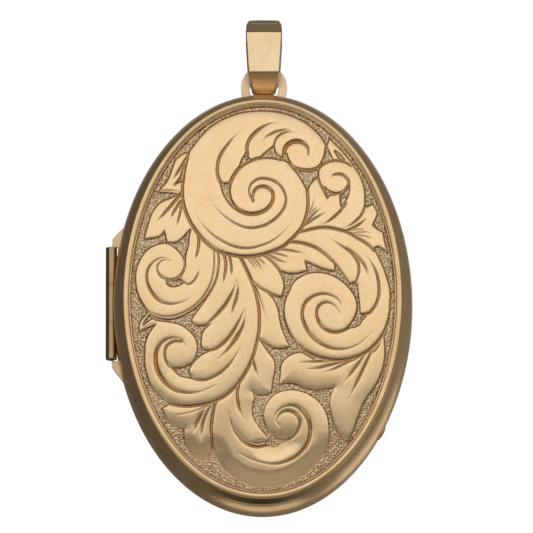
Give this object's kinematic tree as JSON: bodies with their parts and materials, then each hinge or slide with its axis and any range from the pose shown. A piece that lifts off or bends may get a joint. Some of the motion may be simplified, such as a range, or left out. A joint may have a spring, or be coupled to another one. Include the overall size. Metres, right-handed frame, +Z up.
{
  "type": "locket",
  "caption": "Oval hinged locket with a domed scroll-engraved front, raised bezel, side hinge, inner photo frames and a folded bail on a lug.",
  "frame": {"origin": "centre of the bail's chain opening", "axes": "+Z up the long axis of the hanging case, -Y out of the engraved front cover, +X to the wearer's left of the front, with the hinge on the -X side"},
  "size_m": [0.0287, 0.0069, 0.0478],
  "materials": {
    "engraved_gold": "satin gold with engraved scrolls on a stippled ground",
    "satin_gold": "satin brushed gold",
    "polished_gold": "soft polished gold",
    "inner_gold": "satin gold",
    "hinge_gold": "satin gold, darker in the joints",
    "bail_gold": "satin brushed gold",
    "card": "blank matt card",
    "window": "clear acetate sheet"
  },
  "bodies": {
    "bail": {"bail": "bail_gold"},
    "back_half": {"back_rim": "satin_gold", "back_cover_plate": "polished_gold", "snap_lip": "inner_gold", "snap_pip_upper": "inner_gold", "snap_pip_lower": "inner_gold", "back_photo_card": "card", "back_photo_window": "window", "back_photo_frame": "inner_gold", "upper_knuckle": "hinge_gold", "lower_knuckle": "hinge_gold", "hinge_pin": "hinge_gold", "upper_hinge_fin": "satin_gold", "lower_hinge_fin": "satin_gold", "bail_lug": "satin_gold"},
    "front_half": {"front_rim": "satin_gold", "front_cover_plate": "engraved_gold", "front_photo_card": "card", "front_photo_window": "window", "front_photo_frame": "inner_gold", "middle_knuckle": "hinge_gold", "nail_catch": "satin_gold"}
  },
  "joints": [
    {"name": "bail_swing", "type": "hinge", "parent": "bail", "child": "back_half", "pos_m": [0, 0.00014, -0.00194], "axis": [1, 0, 0], "range_deg": [-32, 32]},
    {"name": "cover_hinge", "type": "hinge", "parent": "back_half", "child": "front_half", "pos_m": [-0.01415, 0, -0.02459], "axis": [0, 0, -1], "range_deg": [0, 180]}
  ]
}
